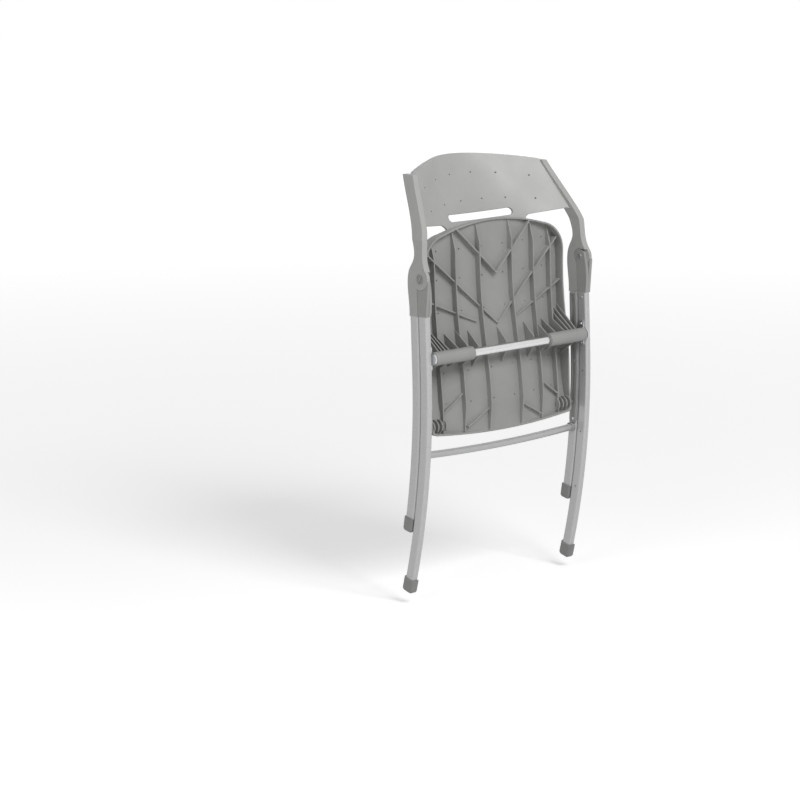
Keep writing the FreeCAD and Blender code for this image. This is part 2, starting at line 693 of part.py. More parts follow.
def stretcher():
    """Tube between the rear legs, bowed down a little in the middle."""
    end_x = INNER_FACE
    ends = STRETCHER_END_POINT
    bow = Vector(0, ends.y, ends.z - STRETCHER_BOW)
    path = Part.Wire([arc(Vector(-end_x, ends.y, ends.z), bow, Vector(end_x, ends.y, ends.z))])
    start = Vector(-end_x, ends.y, ends.z)
    direction = path.Edges[0].tangentAt(path.Edges[0].FirstParameter)
    outside = path.makePipeShell([Part.Wire(Part.makeCircle(STRETCHER_RADIUS, start, direction))], True, False)
    inside = path.makePipeShell(
        [Part.Wire(Part.makeCircle(STRETCHER_RADIUS - STRETCHER_WALL, start, direction))], True, False)
    room = Part.makeBox(2 * end_x, 200, 200, Vector(-end_x, ends.y - 100, ends.z - 100))
    return outside.common(room).cut(inside)


def stretcher_end():
    """Collar that holds the stretcher's end on the leg."""
    ends = STRETCHER_END_POINT
    low_x = -INNER_FACE
    collar = rod(STRETCHER_END_RADIUS, low_x, low_x + STRETCHER_END, ends.y, ends.z)
    collar = collar.makeFillet(1.2, round_edges_at(collar, low_x + STRETCHER_END))
    return collar.cut(rod(STRETCHER_RADIUS + 0.25, low_x - 1, low_x + STRETCHER_END + 1, ends.y, ends.z - 0.2))


save("rear_stretcher", stretcher())
both_sides("stretcher_end", stretcher_end())


# Seat: a dished plate with a rim and ribs underneath, all one moulding

LUG_Y = path_point(LUG_RUN, TRACK_OFFSET).y
LUG_Z = path_point(LUG_RUN, TRACK_OFFSET).z


def seat_under(x, z):
    """Where the seat's underside lies, as y, at a place across and up."""
    stations = SEAT_STATIONS
    for (z1, y1, k1), (z0, y0, k0) in zip(stations, stations[1:]):
        if z >= z0 or (z0, y0, k0) == stations[-1]:
            share = (z - z0) / (z1 - z0)
            return y0 + share * (y1 - y0) + (k0 + share * (k1 - k0)) * x * x


def seat_ring(station, lift):
    """Closed ring of the seat plate's section at a station."""
    z, y, k = station
    x = SEAT_HALF_WIDTH + 12.0
    side = k * x * x
    a, b, c = Vector(-x, y + side, z), Vector(0, y, z), Vector(x, y + side, z)
    up = Vector(0, lift, 0)
    return Part.Wire([arc(a, b, c), line(c, c + up), arc(c + up, b + up, a + up), line(a + up, a)])


def seat_outline(inset):
    """Front view of the seat, moved in by inset: crowned front edge, straight sides, bowed rear edge."""
    half = SEAT_HALF_WIDTH - inset
    top, low = SEAT_FRONT_Z - inset, SEAT_REAR_Z + inset
    corner_front = (SEAT_HALF_WIDTH - 12.0 - inset, SEAT_FRONT_Z - 53.0 - inset * 0.6)
    shoulder = (SEAT_HALF_WIDTH - 60.0 - inset * 0.5, SEAT_FRONT_Z - 22.0 - inset)
    side_top = (half, SEAT_FRONT_Z - 92.0)
    side_low = (half, SEAT_REAR_Z + 26.0)
    corner_rear = (half - 3.0, SEAT_REAR_Z + 15.0 + inset)
    rear_shoulder = (half - 14.0, SEAT_REAR_Z + 10.5 + inset)

    def at(p, side):
        return Vector(side * p[0], 0, p[1])

    edges = [arc(at(shoulder, LEFT), Vector(0, 0, top), at(shoulder, RIGHT))]
    edges.append(arc(at(rear_shoulder, LEFT), Vector(0, 0, low), at(rear_shoulder, RIGHT)))
    for side in (LEFT, RIGHT):
        edges.append(arc(at(shoulder, side), at(corner_front, side), at(side_top, side)))
        edges.append(line(at(side_top, side), at(side_low, side)))
        edges.append(arc(at(side_low, side), at(corner_rear, side), at(rear_shoulder, side)))
    return prism(edges, Vector(0, -80, 0), Vector(0, 200, 0))


def wall_between(a, b, depth_a, depth_b, thick, steps):
    """Upright wall under the plate from a to b, both (x, z), with its own depth at each end."""
    across = Vector(b[0] - a[0], 0, b[1] - a[1])
    side = Vector(across.z, 0, -across.x).normalize() * thick
    low, high = [], []
    for i in range(steps + 1):
        share = i / steps
        x = a[0] + share * (b[0] - a[0])
        z = a[1] + share * (b[1] - a[1])
        under = seat_under(x, z)
        depth = depth_a + share * (depth_b - depth_a)
        low.append(Vector(x, under - depth, z))
        high.append(Vector(x, under + SEAT_PLATE / 2, z))
    ring = Part.makePolygon(low + high[::-1] + [low[0]])
    face = Part.Face(ring)
    face.translate(side * -0.5)
    return face.extrude(side)


def long_rib(x):
    """Rib from the front edge to the rear edge; it tapers away at the front."""
    outer = abs(x) > RIB_X[1] + 1
    front_z = seat_edge_z(x) - 2.0
    rear_z = SEAT_REAR_Z + 8.0
    parts = [
        wall_between((x, front_z), (x, front_z - 45.0), 2.0, RIB_DEPTH, RIB_WALL, 3),
        wall_between((x, front_z - 45.0), (x, rear_z + 60.0), RIB_DEPTH, RIB_DEPTH - 2.0, RIB_WALL, 16),
        wall_between((x, rear_z + 60.0), (x, rear_z), RIB_DEPTH - 2.0, 6.0 if not outer else 12.0, RIB_WALL, 3)]
    return parts


def seat_edge_z(x):
    """Height of the seat's front edge at a place across."""
    share = abs(x) / (SEAT_HALF_WIDTH - 60.0)
    return SEAT_FRONT_Z - 22.0 * min(share, 1.4) ** 2


def web_to_sleeve(x, reach_up, reach_down):
    """Triangular web under the plate that carries the sleeve, both sides of the tube."""
    tip = SLEEVE_RADIUS * 0.5
    points = [(seat_under(x, TUBE_Z + reach_up) + 1.5, TUBE_Z + reach_up)]
    points.append((TUBE_Y - 2.0, TUBE_Z + tip))
    points.append((TUBE_Y - 2.0, TUBE_Z - tip))
    points.append((seat_under(x, TUBE_Z - reach_down) + 1.5, TUBE_Z - reach_down))
    points.append((seat_under(x, TUBE_Z) + 2.0, TUBE_Z))
    face = Part.Face(Part.Wire(polygon(at_yz(points))))
    face.translate(Vector(x - RIB_WALL / 2, 0, 0))
    return face.extrude(Vector(RIB_WALL, 0, 0))


def middle_gusset(x):
    """Small triangle beside the open stretch of the tube, clear of it."""
    clear = TUBE_RADIUS + 1.0
    parts = []
    for way in (1.0, -1.0):
        near = TUBE_Z + way * 2.0
        far = TUBE_Z + way * 42.0
        points = [(seat_under(x, far) + 1.5, far), (TUBE_Y + clear + 2.0, TUBE_Z + way * 12.0),
                  (TUBE_Y + clear + 1.0, near), (seat_under(x, near) + 1.5, near)]
        face = Part.Face(Part.Wire(polygon(at_yz(points))))
        face.translate(Vector(x - RIB_WALL / 2, 0, 0))
        parts.append(face.extrude(Vector(RIB_WALL, 0, 0)))
    return parts


def sleeve():
    """Left sleeve that runs on the tube, with a rounded outer end."""
    body = rod(SLEEVE_RADIUS, -SLEEVE_END_X, -SLEEVE_START_X, TUBE_Y, TUBE_Z)
    body = body.makeFillet(5.0, round_edges_at(body, -SLEEVE_END_X))
    return body


def lugs():
    """Row of rounded webs in a rear corner that carry the slide pin; left side."""
    found = []
    for i in range(LUG_COUNT):
        x = LUG_START_X + i * LUG_PITCH
        disc = rod(LUG_RADIUS, -x - LUG_WALL, -x, LUG_Y, LUG_Z)
        under = seat_under(x, LUG_Z)
        post = Part.makeBox(LUG_WALL, under + 1.5 - LUG_Y, 2 * LUG_RADIUS, Vector(-x - LUG_WALL, LUG_Y, LUG_Z - LUG_RADIUS))
        limit = Part.makeBox(LUG_WALL, 60, 60, Vector(-x - LUG_WALL, under + 1.5 - 60, LUG_Z - 30))
        found.append(disc.common(limit).fuse(post).removeSplitter())
    return found


def seat_shell():
    plate = Part.makeLoft([seat_ring(s, SEAT_PLATE) for s in SEAT_STATIONS], True, False)
    outline = seat_outline(0.0)
    plate = plate.common(outline)
    rim = outline.cut(seat_outline(RIM_WALL))
    depth = [(z, y) for z, y in RIM_EDGE]
    free_edge = [Vector(0, y, z) for z, y in depth]
    band = prism([curve(free_edge), line(free_edge[-1], Vector(0, 90, free_edge[-1].z)),
                  line(Vector(0, 90, free_edge[-1].z), Vector(0, 90, free_edge[0].z)),
                  line(Vector(0, 90, free_edge[0].z), free_edge[0])], Vector(-300, 0, 0), Vector(600, 0, 0))
    under = Part.makeLoft([seat_ring((z, y - 100.0 + SEAT_PLATE / 2, k), 100.0) for z, y, k in SEAT_STATIONS], True, False)
    rim = rim.common(band).common(under)
    parts = [plate] + rim.Solids
    for x in RIB_X:
        for side in (LEFT, RIGHT):
            parts += long_rib(side * x)
    for a, b, depth_a, depth_b in DIAGONALS:
        for side in (LEFT, RIGHT):
            start, stop = (side * a[0], a[1]), (side * b[0], b[1])
            parts.append(wall_between(start, stop, depth_a, depth_b, RIB_WALL, 6))
    for x, up, down in SLEEVE_WEBS:
        for side in (LEFT, RIGHT):
            parts.append(web_to_sleeve(side * x, up, down))
    for x in GUSSET_X:
        for side in ((LEFT, RIGHT) if x > 0 else (RIGHT,)):
            parts += middle_gusset(side * x)
    left_sleeve = sleeve()
    left_lugs = lugs()
    parts += [left_sleeve, mirrored(left_sleeve)] + left_lugs + [mirrored(lug) for lug in left_lugs]
    shell = parts[0].multiFuse(parts[1:])
    bore = rod(TUBE_RADIUS + RUNNING_FIT, -INNER_FACE, INNER_FACE, TUBE_Y, TUBE_Z)
    cuts = [bore]
    for side in (LEFT, RIGHT):
        pin_x = sorted((side * (LUG_START_X - 1), side * (LUG_START_X + (LUG_COUNT + 3) * LUG_PITCH)))
        cuts.append(rod(SLIDE_PIN_RADIUS, *pin_x, LUG_Y, LUG_Z))
        for x in SEAT_HOLE_X:
            for z in SEAT_HOLE_Z:
                cuts.append(Part.makeCylinder(HOLE_RADIUS, 90, Vector(side * x, -10, z), Vector(0, 1, 0)))
    return shell.cut(Part.makeCompound(cuts))


save("seat_shell", seat_shell())
slide_pin = rod(SLIDE_PIN_RADIUS, -SLIDE_PIN_END_X, -LUG_START_X, LUG_Y, LUG_Z)
both_sides("slide_pin", slide_pin.makeFillet(1.0, round_edges_at(slide_pin, -SLIDE_PIN_END_X)))
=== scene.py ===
import bmesh
import bpy
import json
import math
from mathutils import Matrix, Vector


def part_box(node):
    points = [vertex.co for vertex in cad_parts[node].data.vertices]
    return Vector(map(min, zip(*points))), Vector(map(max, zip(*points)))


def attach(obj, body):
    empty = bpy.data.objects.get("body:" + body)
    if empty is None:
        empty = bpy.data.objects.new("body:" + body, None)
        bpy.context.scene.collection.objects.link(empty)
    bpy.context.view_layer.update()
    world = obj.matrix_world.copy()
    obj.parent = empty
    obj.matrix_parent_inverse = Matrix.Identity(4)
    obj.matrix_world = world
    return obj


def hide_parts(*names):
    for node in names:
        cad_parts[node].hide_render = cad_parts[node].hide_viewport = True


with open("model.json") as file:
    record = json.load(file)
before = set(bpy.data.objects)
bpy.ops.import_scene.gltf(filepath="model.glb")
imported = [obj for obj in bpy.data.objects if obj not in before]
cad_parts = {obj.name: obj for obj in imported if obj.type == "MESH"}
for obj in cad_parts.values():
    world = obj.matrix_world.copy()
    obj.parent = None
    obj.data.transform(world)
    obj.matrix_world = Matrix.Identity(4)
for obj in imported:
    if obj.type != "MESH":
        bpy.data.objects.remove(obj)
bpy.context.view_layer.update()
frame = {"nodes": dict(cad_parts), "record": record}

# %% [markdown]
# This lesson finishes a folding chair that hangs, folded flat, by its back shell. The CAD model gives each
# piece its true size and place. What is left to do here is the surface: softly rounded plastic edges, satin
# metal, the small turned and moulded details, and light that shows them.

NODES = frame["nodes"]

# %% [markdown]
# The photograph looks at the chair from its left front corner, a little from above, with a long lens, so
# upright edges stay nearly parallel. The camera gets that place and direction, and its lens isn't shifted.

# %% Camera
VIEW_FROM = Vector((-4.858, -5.122, 1.028))
VIEW_RIGHT = Vector((0.74431155, -0.66783256, 0.0))
VIEW_UP = Vector((0.1331444, 0.14839186, 0.9799247))
VIEW_BACK = Vector((-0.65442562, -0.72936927, 0.19936793))
LENS_MM = 145.2
SENSOR_MM = 36.0
FAR_CLIP = 60.0

camera_data = bpy.data.cameras.new("camera")
camera_data.lens = LENS_MM
camera_data.sensor_width = SENSOR_MM
camera_data.clip_end = FAR_CLIP
camera = bpy.data.objects.new("camera", camera_data)
bpy.context.scene.collection.objects.link(camera)
turn = Matrix((VIEW_RIGHT, VIEW_UP, VIEW_BACK)).transposed()
camera.matrix_world = Matrix.Translation(VIEW_FROM) @ turn.to_4x4()
bpy.context.scene.camera = camera
bpy.context.scene.view_settings.view_transform = "Standard"
print("camera lens", camera_data.lens, "mm")

# %% [markdown]
# Every material is built from nodes. Colours are written as sRGB hex values, as a paint chart gives them,
# and one function turns them to the linear values that a shader needs. One more adds a node with its
# settings and links. The last ones cover what every material here repeats: a mix of two colours, and the
# three links that end in the shader.

# %% Helpers for materials
MM = 0.001
BEVEL_SAMPLES = 4


def colour(hex_value):
    channels = [int(hex_value[i:i + 2], 16) / 255 for i in (1, 3, 5)]
    return tuple(c / 12.92 if c <= 0.04045 else ((c + 0.055) / 1.055) ** 2.4 for c in channels) + (1.0,)


def node(tree, kind, settings=None, **inputs):
    """Add a node: settings are its own properties, inputs its sockets by name (or by _number)."""
    made = tree.nodes.new(kind)
    for name, value in (settings or {}).items():
        setattr(made, name, value)
    for name, value in inputs.items():
        socket = made.inputs[int(name[1:])] if name[0] == "_" else made.inputs[name.replace("_", " ")]
        if isinstance(value, bpy.types.NodeSocket):
            tree.links.new(value, socket)
        else:
            socket.default_value = value
    return made


def new_material(name, **surface):
    material = bpy.data.materials.new(name)
    material.use_nodes = True
    tree = material.node_tree
    shader = tree.nodes["Principled BSDF"]
    for socket, value in surface.items():
        shader.inputs[socket.replace("_", " ")].default_value = value
    return material, tree, shader


def mixed(tree, share, first, second):
    """Mix two colours (linear values or sockets); share 0 gives the first."""
    return node(tree, "ShaderNodeMix", {"data_type": "RGBA"}, _0=share, _6=first, _7=second).outputs[2]


def link_surface(tree, shader, base, gloss, relief):
    tree.links.new(base, shader.inputs["Base Color"])
    tree.links.new(gloss.outputs["Result"], shader.inputs["Roughness"])
    tree.links.new(relief.outputs["Normal"], shader.inputs["Normal"])


def per_metre(size_mm):
    """Scale of a noise texture whose features are about this size."""
    return 1.0 / (size_mm * MM)


print("grey of a mid panel", [round(c, 3) for c in colour("#bababa")])

# %% [markdown]
# The shell, the arms and the seat are injection-moulded polypropylene. The mould is spark-eroded, which
# gives the plastic a fine matt grain, and the edges come out slightly round. Real grain is about 0.3 mm. It
# is drawn at 0.9 mm here, because finer grain would vanish at this distance. A broad, faint mottling stands
# for the uneven sheen of large mouldings. The edges carry a painted highlight: their colour is mixed towards
# a lighter grey, as if light caught the rounded edge. The Bevel node finds the edges: there its normal turns
# away from the flat face's own.

# %% Moulded polypropylene
PLASTIC_IOR = 1.49
MOTTLE_MM = 70
GRAIN_DEPTH = 0.12 * MM
# How far the painted edge highlight lightens the colour at an edge.
EDGE_HIGHLIGHT_SHARE = 0.55


def moulded_plastic(name, base, mottled, highlight_colour, roughness, grain=0.9, round_mm=2.0):
    material, tree, shader = new_material(name, IOR=PLASTIC_IOR, Roughness=roughness)
    place = node(tree, "ShaderNodeTexCoord").outputs["Object"]
    broad = node(tree, "ShaderNodeTexNoise", Vector=place, Scale=per_metre(MOTTLE_MM), Detail=3.0,
                 Roughness=0.6).outputs["Fac"]
    fine = node(tree, "ShaderNodeTexNoise", Vector=place, Scale=per_metre(grain), Detail=2.0,
                Roughness=0.55).outputs["Fac"]
    tone = node(tree, "ShaderNodeMapRange", Value=broad, From_Min=0.35, From_Max=0.65)
    body = mixed(tree, tone.outputs["Result"], colour(base), colour(mottled))

    soft = node(tree, "ShaderNodeBevel", {"samples": BEVEL_SAMPLES}, Radius=round_mm * MM).outputs["Normal"]
    flat = node(tree, "ShaderNodeNewGeometry").outputs["Normal"]
    agree = node(tree, "ShaderNodeVectorMath", {"operation": "DOT_PRODUCT"}, _0=soft, _1=flat)
    # Painted highlight: where the Bevel normal turns away from the face's own, the colour goes lighter.
    highlight_mask = node(tree, "ShaderNodeMapRange", Value=agree.outputs["Value"], From_Min=0.985, From_Max=0.80,
                To_Max=EDGE_HIGHLIGHT_SHARE)
    body_and_highlight = mixed(tree, highlight_mask.outputs["Result"], body, colour(highlight_colour))

    gloss = node(tree, "ShaderNodeMapRange", Value=broad, To_Min=roughness - 0.05, To_Max=roughness + 0.07)
    grainy = node(tree, "ShaderNodeBump", Strength=0.22, Distance=GRAIN_DEPTH, Height=fine, Normal=soft)
    link_surface(tree, shader, body_and_highlight, gloss, grainy)
    return material


# The third colour of each plastic is its painted edge highlight.
shell_plastic = moulded_plastic("polypropylene moulded shell", "#b2b2b1", "#aeaeac", "#cfcfcd", 0.46)
arm_plastic = moulded_plastic("polypropylene moulded arm", "#a0a09f", "#9b9b9a", "#c6c6c4", 0.44)
seat_plastic = moulded_plastic("polypropylene moulded seat", "#9e9e9c", "#999997", "#c4c4c2", 0.48)
print("plastics", [m.name for m in (shell_plastic, arm_plastic, seat_plastic)])

# %% [markdown]
# The feet are nylon and the guide strips are acetal. Both are harder and smoother than the shell, and the
# feet are darker, so they use the same recipe with other colours, a finer grain and less roughness.

# %% Nylon feet and acetal guide strips
# Here too the third colour is the painted edge highlight.
foot_plastic = moulded_plastic("nylon moulded foot", "#8c8c8b", "#868685", "#aaaaa8", 0.40, grain=0.7)
track_plastic = moulded_plastic("acetal moulded guide strip", "#a0a09f", "#9a9a99", "#bcbcba", 0.34,
                                grain=0.7, round_mm=0.5)
print("feet and strips", foot_plastic.name, track_plastic.name)

# %% [markdown]
# The legs are aluminium extrusions with a silver powder coat: a thin skin of coloured plastic full of small
# aluminium flakes. It looks half like metal and half like paint, so the shader is part metallic, with a
# faint orange-peel surface of about 1.5 mm and tiny bright flakes. Flakes of 0.1 mm are drawn at 0.8 mm to
# show. The bowed stretcher between the rear legs has the same coat, on steel tube.

# %% Silver powder coat on the legs and the stretcher
COAT_METALLIC = 0.35
FLAKE_MM = 0.8
PEEL_MM = 1.5
CLOUD_MM = 90
PEEL_DEPTH = 0.1 * MM
COAT_ROUND = 0.6 * MM


def powder_coated_silver(name, base, dark):
    material, tree, shader = new_material(name, Metallic=COAT_METALLIC, Roughness=0.40)
    place = node(tree, "ShaderNodeTexCoord").outputs["Object"]
    flakes = node(tree, "ShaderNodeTexNoise", Vector=place, Scale=per_metre(FLAKE_MM), Detail=1.0)
    peel = node(tree, "ShaderNodeTexNoise", Vector=place, Scale=per_metre(PEEL_MM), Detail=2.0)
    broad = node(tree, "ShaderNodeTexNoise", Vector=place, Scale=per_metre(CLOUD_MM), Detail=2.0)
    spark = node(tree, "ShaderNodeMapRange", Value=flakes.outputs["Fac"], From_Min=0.35, From_Max=0.70)
    skin = mixed(tree, spark.outputs["Result"], colour(dark), colour(base))
    soft = node(tree, "ShaderNodeBevel", {"samples": BEVEL_SAMPLES}, Radius=COAT_ROUND)
    gloss = node(tree, "ShaderNodeMapRange", Value=broad.outputs["Fac"], To_Min=0.33, To_Max=0.46)
    rippled = node(tree, "ShaderNodeBump", Strength=0.12, Distance=PEEL_DEPTH, Height=peel.outputs["Fac"],
                   Normal=soft.outputs["Normal"])
    link_surface(tree, shader, skin, gloss, rippled)
    return material


leg_silver = powder_coated_silver("aluminium powder coated silver", "#cccccc", "#b2b2b2")
stretcher_silver = powder_coated_silver("steel tube powder coated silver", "#c6c6c6", "#adadad")
print("legs and stretcher", leg_silver.name, stretcher_silver.name)

# %% [markdown]
# The seat tube is bright drawn tube. Drawing leaves very fine lines along the tube, which runs across the
# chair, so the noise is stretched along X. Screws, pins and rivets are zinc-plated steel: a bright metal
# with a slightly cloudy, small-grained surface.

# %% Bright drawn tube and zinc-plated steel
MARK_DEPTH = 0.05 * MM


def bright_metal(name, light, dark, roughness, grain_mm, stretch):
    material, tree, shader = new_material(name, Metallic=1.0, Roughness=roughness)
    place = node(tree, "ShaderNodeTexCoord").outputs["Object"]
    along = node(tree, "ShaderNodeMapping", Vector=place, Scale=(stretch, 1.0, 1.0)).outputs["Vector"]
    lines = node(tree, "ShaderNodeTexNoise", Vector=along, Scale=per_metre(grain_mm),
                 Detail=3.0).outputs["Fac"]
    tint = mixed(tree, lines, colour(dark), colour(light))
    gloss = node(tree, "ShaderNodeMapRange", Value=lines, To_Min=roughness - 0.06, To_Max=roughness + 0.08)
    marks = node(tree, "ShaderNodeBump", Strength=0.10, Distance=MARK_DEPTH, Height=lines)
    link_surface(tree, shader, tint, gloss, marks)
    return material


tube_metal = bright_metal("aluminium bright drawn tube", "#e0e0e0", "#cdcdcd", 0.26, 0.6, 0.03)
zinc_steel = bright_metal("steel zinc plated", "#d6d7d8", "#b9bbbd", 0.28, 0.8, 1.0)
print("metals", tube_metal.name, zinc_steel.name)

# %% [markdown]
# Each CAD node now gets the material of its finish. A node keeps its own shape; only its material changes.

# %% Materials on the CAD nodes
SLOT_OF = {part["node"]: part["material_slot"] for part in frame["record"]["subparts"]}
FINISH = {"shell_plastic": shell_plastic, "seat_plastic": seat_plastic, "foot_plastic": foot_plastic,
          "leg_aluminium": leg_silver, "tube_aluminium": tube_metal, "track_plastic": track_plastic,
          "steel": zinc_steel}
for name, piece in NODES.items():
    finish = arm_plastic if name.startswith(("front_arm", "pivot_cap")) else FINISH[SLOT_OF[name]]
    finish = stretcher_silver if name == "rear_stretcher" else finish
    piece.data.materials.clear()
    piece.data.materials.append(finish)
print({name: piece.data.materials[0].name for name, piece in list(NODES.items())[:4]})

# %% [markdown]
# Small round parts are turned or moulded, so each starts as a cylinder at its true size and place, with
# its axis along X, and is shaped in edit mode by insets, extrusions and bevels. Three helpers keep this
# short: one starts the cylinder, one picks the face that looks a given way, and one hands the finished piece
# to its body.

# %% Helpers for modelled pieces
X_AXIS = Vector((1.0, 0.0, 0.0))
FACING = 0.99
LEVEL = 1e-5


def start_cylinder(name, radius, low_x, high_x, y, z, sides=48):
    bpy.ops.object.select_all(action="DESELECT")
    middle = ((low_x + high_x) / 2, y, z)
    bpy.ops.mesh.primitive_cylinder_add(vertices=sides, radius=radius, depth=high_x - low_x,
                                        location=middle, rotation=(0.0, math.pi / 2, 0.0))
    piece = bpy.context.active_object
    piece.name = name
    bpy.ops.object.transform_apply(location=True, rotation=True, scale=True)
    return piece


def pick_face(piece, direction):
    """In edit mode, select only the largest of the furthest faces that look in a direction."""
    mesh = bmesh.from_edit_mesh(piece.data)
    for element in list(mesh.verts) + list(mesh.edges) + list(mesh.faces):
        element.select = False
    looking = [f for f in mesh.faces if f.normal.dot(direction) > FACING]
    furthest = max(f.calc_center_median().dot(direction) for f in looking)
    top = [f for f in looking if f.calc_center_median().dot(direction) > furthest - LEVEL]
    max(top, key=lambda f: f.calc_area()).select = True
    mesh.select_flush_mode()
    bmesh.update_edit_mesh(piece.data)


def finish_piece(piece, material, body, nodes, smooth_below):
    """Smooth faces that meet at less than an angle in degrees, and hand the piece to its body."""
    bpy.ops.object.select_all(action="DESELECT")
    piece.select_set(True)
    bpy.context.view_layer.objects.active = piece
    bpy.ops.object.shade_smooth_by_angle(angle=math.radians(smooth_below))
    piece.data.materials.clear()
    piece.data.materials.append(material)
    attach(piece, body)
    if nodes:
        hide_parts(*nodes)
    low = [min(v.co[i] for v in piece.data.vertices) for i in range(3)]
    high = [max(v.co[i] for v in piece.data.vertices) for i in range(3)]
    size_mm = [round((h - l) / MM, 1) for l, h in zip(low, high)]
    print(piece.name, "faces", len(piece.data.polygons), "size mm", size_mm)


# %% [markdown]
# The pivot cap covers the hinge pin. It is a shallow moulded bowl with a rim, and a thumb grip stands across
# it on the slant. The bowl is the cylinder's outer face: its edge is bevelled, then the face is inset for
# the rim, inset again and pushed in for the bowl. The grip is a cube stretched to a bar, whose top is
# pinched and bevelled round. The grip's top is level with the outer face of the CAD cap.

# %% Pivot caps
CAP_STEP = 0.8 * MM
CAP_EDGE_ROUND = 0.6 * MM
CAP_RIM_WIDTH = 1.6 * MM
CAP_SLOPE_WIDTH = 0.9 * MM
CAP_BOWL_DEPTH = 2.2 * MM
CAP_FLOOR_RING = 2.5 * MM
GRIP_TURN = math.radians(35.0)
GRIP_PER_RADIUS = 1.45
GRIP_WIDTH = 3.4 * MM
GRIP_DEPTH = 3.2 * MM
GRIP_PINCH = (1.0, 0.72, 0.86)
GRIP_ROUND = 0.8 * MM


def cap_bowl(side_name, direction, radius, face, inner, y, z):
    bowl = start_cylinder("pivot_cap_bowl_" + side_name, radius, min(face, inner), max(face, inner), y, z)
    bpy.ops.object.mode_set(mode="EDIT")
    pick_face(bowl, X_AXIS * direction)
    bpy.ops.mesh.bevel(offset=CAP_EDGE_ROUND, segments=3, affect="EDGES")
    pick_face(bowl, X_AXIS * direction)
    bpy.ops.mesh.inset(thickness=CAP_RIM_WIDTH)
    bpy.ops.mesh.inset(thickness=CAP_SLOPE_WIDTH)
    bpy.ops.transform.translate(value=(-direction * CAP_BOWL_DEPTH, 0.0, 0.0))
    bpy.ops.mesh.inset(thickness=CAP_FLOOR_RING)
    bpy.ops.object.mode_set(mode="OBJECT")
    finish_piece(bowl, arm_plastic, "back_frame", ["pivot_cap_" + side_name], 50.0)


def cap_grip(side_name, direction, radius, face, y, z):
    bpy.ops.object.select_all(action="DESELECT")
    bpy.ops.mesh.primitive_cube_add(size=1.0, location=(face - direction * CAP_STEP, y, z),
                                    rotation=(GRIP_TURN, 0.0, 0.0),
                                    scale=(GRIP_DEPTH, GRIP_WIDTH, GRIP_PER_RADIUS * radius))
    grip = bpy.context.active_object
    grip.name = "pivot_cap_grip_" + side_name
    bpy.ops.object.transform_apply(location=True, rotation=True, scale=True)
    bpy.ops.object.mode_set(mode="EDIT")
    pick_face(grip, X_AXIS * direction)
    bpy.ops.transform.resize(value=GRIP_PINCH)
    bpy.ops.mesh.bevel(offset=GRIP_ROUND, segments=3, affect="EDGES")
    bpy.ops.object.mode_set(mode="OBJECT")
    finish_piece(grip, arm_plastic, "back_frame", (), 60.0)


for side_name, direction in (("left", -1.0), ("right", 1.0)):
    low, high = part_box("pivot_cap_" + side_name)
    outer, inner = (low[0], high[0]) if direction < 0 else (high[0], low[0])
    face = outer - direction * CAP_STEP
    centre_y, centre_z = (low[1] + high[1]) / 2, (low[2] + high[2]) / 2
    radius = (high[2] - low[2]) / 2
    cap_bowl(side_name, direction, radius, face, inner, centre_y, centre_z)
    cap_grip(side_name, direction, radius, face, centre_y, centre_z)

# %% [markdown]
# The screws below the arms are button-head steel screws. Each head is a low cylinder with its edge bevelled
# to a dome. Its flat top is inset and pushed in. The real socket is hexagonal; at this size a round pit
# stands for it. The heads stand on the inner walls of the front legs and face the middle of the chair.

# %% Button-head screws below the arms
ARM_SCREW_RADIUS = 3.6 * MM
ARM_SCREW_HEIGHT = 1.6 * MM
DOME_SHARE = 0.7
SOCKET_RING_SHARE = 0.34
SOCKET_DEPTH_SHARE = 0.7


def button_head(name, wall_x, direction, y, z, nodes):
    ends = sorted((wall_x, wall_x + direction * ARM_SCREW_HEIGHT))
    head = start_cylinder(name, ARM_SCREW_RADIUS, ends[0], ends[1], y, z, sides=36)
    depth = SOCKET_DEPTH_SHARE * ARM_SCREW_HEIGHT
    bpy.ops.object.mode_set(mode="EDIT")
    pick_face(head, X_AXIS * direction)
    bpy.ops.mesh.bevel(offset=DOME_SHARE * ARM_SCREW_HEIGHT, segments=4, affect="EDGES")
    pick_face(head, X_AXIS * direction)
    bpy.ops.mesh.inset(thickness=SOCKET_RING_SHARE * ARM_SCREW_RADIUS)
    bpy.ops.mesh.extrude_region_move(TRANSFORM_OT_translate={"value": (-direction * depth, 0.0, 0.0)})
    bpy.ops.object.mode_set(mode="OBJECT")
    finish_piece(head, zinc_steel, "front_legs", nodes, 40.0)


low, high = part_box("arm_screws")
screw_y, screw_z = (low[1] + high[1]) / 2, (low[2] + high[2]) / 2
left_wall_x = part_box("front_leg_left")[1][0]
right_wall_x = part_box("front_leg_right")[0][0]
button_head("arm_screw_head_left", left_wall_x, 1.0, screw_y, screw_z, ["arm_screws"])
button_head("arm_screw_head_right", right_wall_x, -1.0, screw_y, screw_z, [])

# %% [markdown]
# The floor is a plain pale sheet, a little under the feet. Its material adds a weak light of its own that
# only the camera, mirrors and clear materials see, so it reads as white while it still takes the chair's
# shadow. That light grows with the distance, where the lamps reach less.

# %% Floor
FLOOR_Z = -0.83
FLOOR_RADIUS = 14.0
GLOW_NEAR, GLOW_FAR = 0.45, 0.82
NEAR_METRES, FAR_METRES = 1.2, 6.0


def seen_directly(tree):
    """Socket that is 1 for the rays of the camera, of mirrors and of clear materials."""
    rays = node(tree, "ShaderNodeLightPath").outputs
    both = node(tree, "ShaderNodeMath", {"operation": "ADD"}, _0=rays["Is Camera Ray"],
                _1=rays["Is Glossy Ray"])
    return node(tree, "ShaderNodeMath", {"operation": "ADD", "use_clamp": True}, _0=both.outputs[0],
                _1=rays["Is Transmission Ray"]).outputs[0]


bpy.ops.object.select_all(action="DESELECT")
bpy.ops.mesh.primitive_circle_add(vertices=96, radius=FLOOR_RADIUS, fill_type="NGON",
                                  location=(0.0, 0.0, FLOOR_Z))
floor = bpy.context.active_object
floor.name = "floor"
bpy.ops.object.transform_apply(location=True, rotation=True, scale=True)

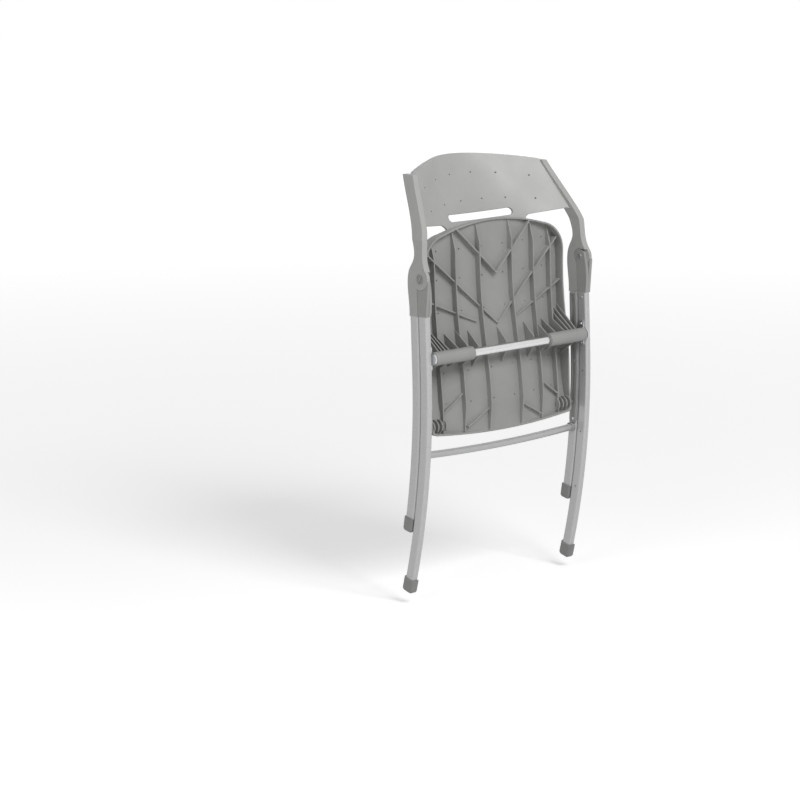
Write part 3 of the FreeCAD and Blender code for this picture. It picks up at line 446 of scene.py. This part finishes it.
floor_material = bpy.data.materials.new("white paper floor")
floor_material.use_nodes = True
floor_tree = floor_material.node_tree
floor_tree.nodes.clear()
spot = node(floor_tree, "ShaderNodeTexCoord").outputs["Object"]
away = node(floor_tree, "ShaderNodeVectorMath", {"operation": "LENGTH"}, _0=spot)
lift = node(floor_tree, "ShaderNodeMapRange", Value=away.outputs["Value"], From_Min=NEAR_METRES,
            From_Max=FAR_METRES, To_Min=GLOW_NEAR, To_Max=GLOW_FAR)
glow = node(floor_tree, "ShaderNodeMath", {"operation": "MULTIPLY"}, _0=seen_directly(floor_tree),
            _1=lift.outputs["Result"])
paper = node(floor_tree, "ShaderNodeBsdfDiffuse", Color=colour("#f4f4f4"))
own_light = node(floor_tree, "ShaderNodeEmission", Color=(1, 1, 1, 1), Strength=glow.outputs[0])
both = node(floor_tree, "ShaderNodeAddShader", _0=paper.outputs[0], _1=own_light.outputs[0])
node(floor_tree, "ShaderNodeOutputMaterial", Surface=both.outputs[0])
floor.data.materials.append(floor_material)
print("floor at", FLOOR_Z)

# %% [markdown]
# The world is the far white of the studio. It gives an even fill light at a plain level, and shows as white
# to the camera and in mirror-like metal.

# %% World
FILL_LEVEL = 0.25
world = bpy.data.worlds.new("studio")
bpy.context.scene.world = world
world.use_nodes = True
world_tree = world.node_tree
world_tree.nodes.clear()
level = node(world_tree, "ShaderNodeMapRange", Value=seen_directly(world_tree), To_Min=FILL_LEVEL,
             To_Max=1.0)
sky = node(world_tree, "ShaderNodeBackground", Color=(1, 1, 1, 1), Strength=level.outputs["Result"])
node(world_tree, "ShaderNodeOutputWorld", Surface=sky.outputs[0])
print("fill level", FILL_LEVEL)

# %% [markdown]
# One large soft lamp stands high in front of the chair, so the tilted panel is the brightest surface, and
# the sides fall off. A weaker one on the left lights the sides that face it and draws a highlight along the
# legs.

# %% Lamps
CHAIR_MIDDLE = Vector((0.0, 0.0, -0.25))
LAMP_SIZE = 1.6
KEY_PLACE, KEY_WATTS = Vector((-0.3, -3.0, 2.5)), 91.0
SIDE_PLACE, SIDE_WATTS = Vector((-3.2, -0.8, 0.9)), 19.0


def soft_lamp(name, place, watts):
    data = bpy.data.lights.new(name, "AREA")
    data.shape = "SQUARE"
    data.size = LAMP_SIZE
    data.energy = watts
    lamp = bpy.data.objects.new(name, data)
    bpy.context.scene.collection.objects.link(lamp)
    lamp.location = place
    lamp.rotation_euler = (CHAIR_MIDDLE - place).to_track_quat("-Z", "Y").to_euler()


soft_lamp("key", KEY_PLACE, KEY_WATTS)
soft_lamp("side", SIDE_PLACE, SIDE_WATTS)
print("lamps placed")
